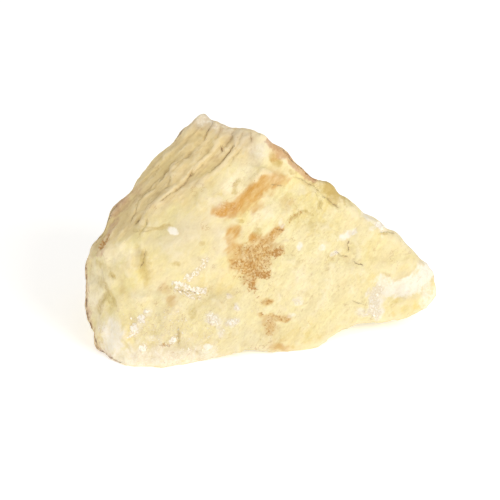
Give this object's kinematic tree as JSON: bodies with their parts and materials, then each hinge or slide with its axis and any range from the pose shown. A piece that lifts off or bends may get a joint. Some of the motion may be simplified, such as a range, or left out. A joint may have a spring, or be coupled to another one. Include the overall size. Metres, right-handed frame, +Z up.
{
  "type": "calcite specimen",
  "caption": "Wedge-shaped lump of massive yellow calcite with a split upper slope and a blunt pale tip, lying on its flat underside.",
  "frame": {"origin": "under the middle of the lump's bounding box, on the surface that it lies on", "axes": "+X along the length towards the blunt tip, -Y towards the broad side that is shown, +Z up"},
  "size_m": [0.1, 0.0612, 0.0605],
  "materials": {
    "calcite": "matt, with pale crust and orange-brown iron stains"
  },
  "bodies": {
    "root": {"calcite_lump": "calcite"}
  },
  "joints": []
}
